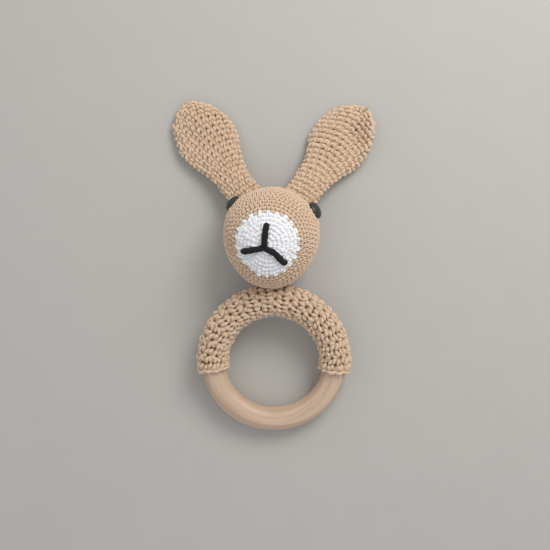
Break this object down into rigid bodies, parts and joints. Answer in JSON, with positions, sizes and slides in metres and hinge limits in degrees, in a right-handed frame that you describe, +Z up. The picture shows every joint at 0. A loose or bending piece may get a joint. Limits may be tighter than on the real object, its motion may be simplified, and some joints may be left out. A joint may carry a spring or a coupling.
{
  "type": "teething ring",
  "caption": "Wooden teething ring in a crocheted cover, with a stuffed crocheted rabbit's head and two long flat ears sewn to it.",
  "frame": {"origin": "under the middle of the toy's outline, on the surface that it lies on", "axes": "+Z up, the way the rabbit's face looks; +Y from the ring towards the ears; +X to the right when looking at the face"},
  "size_m": [0.0991, 0.161, 0.0455],
  "materials": {
    "beech": "smooth, oiled, unvarnished",
    "oat_yarn": "matt cotton yarn",
    "white_yarn": "matt cotton yarn",
    "black_yarn": "matt cotton yarn",
    "eye_plastic": "polished",
    "washer_plastic": "moulded",
    "stuffing": "loose polyester fibre"
  },
  "bodies": {
    "cover": {"ring_cover": "oat_yarn", "cover_seam": "oat_yarn", "neck_seam": "oat_yarn"},
    "ring": {"wooden_ring": "beech"},
    "head": {"head_shell": "oat_yarn", "muzzle": "white_yarn", "head_stuffing": "stuffing", "nose_stitch": "black_yarn", "mouth_stitch_left": "black_yarn", "mouth_stitch_right": "black_yarn", "eye_left": "eye_plastic", "eye_right": "eye_plastic", "eye_washer_left": "washer_plastic", "eye_washer_right": "washer_plastic", "ear_seam_left": "oat_yarn", "ear_seam_right": "oat_yarn"},
    "ear_left": {"ear_left": "oat_yarn"},
    "ear_right": {"ear_right": "oat_yarn"}
  },
  "joints": [
    {"name": "ring_turn", "type": "hinge", "parent": "cover", "child": "ring", "pos_m": [0, -0.046, 0.0108], "axis": [0, -0.1739, 0.9848], "continuous": true},
    {"name": "head_nod", "type": "hinge", "parent": "cover", "child": "head", "pos_m": [-0.0012, -0.00853, 0.01741], "axis": [1, 0, 0], "range_deg": [0, 12], "stiffness_Nm_per_rad": 0.1},
    {"name": "ear_left_flop", "type": "hinge", "parent": "head", "child": "ear_left", "pos_m": [-0.01264, 0.03076, 0.01293], "axis": [0.8339, 0.5519, 0], "range_deg": [0, 45], "stiffness_Nm_per_rad": 0.004},
    {"name": "ear_right_flop", "type": "hinge", "parent": "head", "child": "ear_right", "pos_m": [0.01098, 0.03024, 0.01293], "axis": [0.809, -0.5878, 0], "range_deg": [0, 45], "stiffness_Nm_per_rad": 0.004}
  ]
}
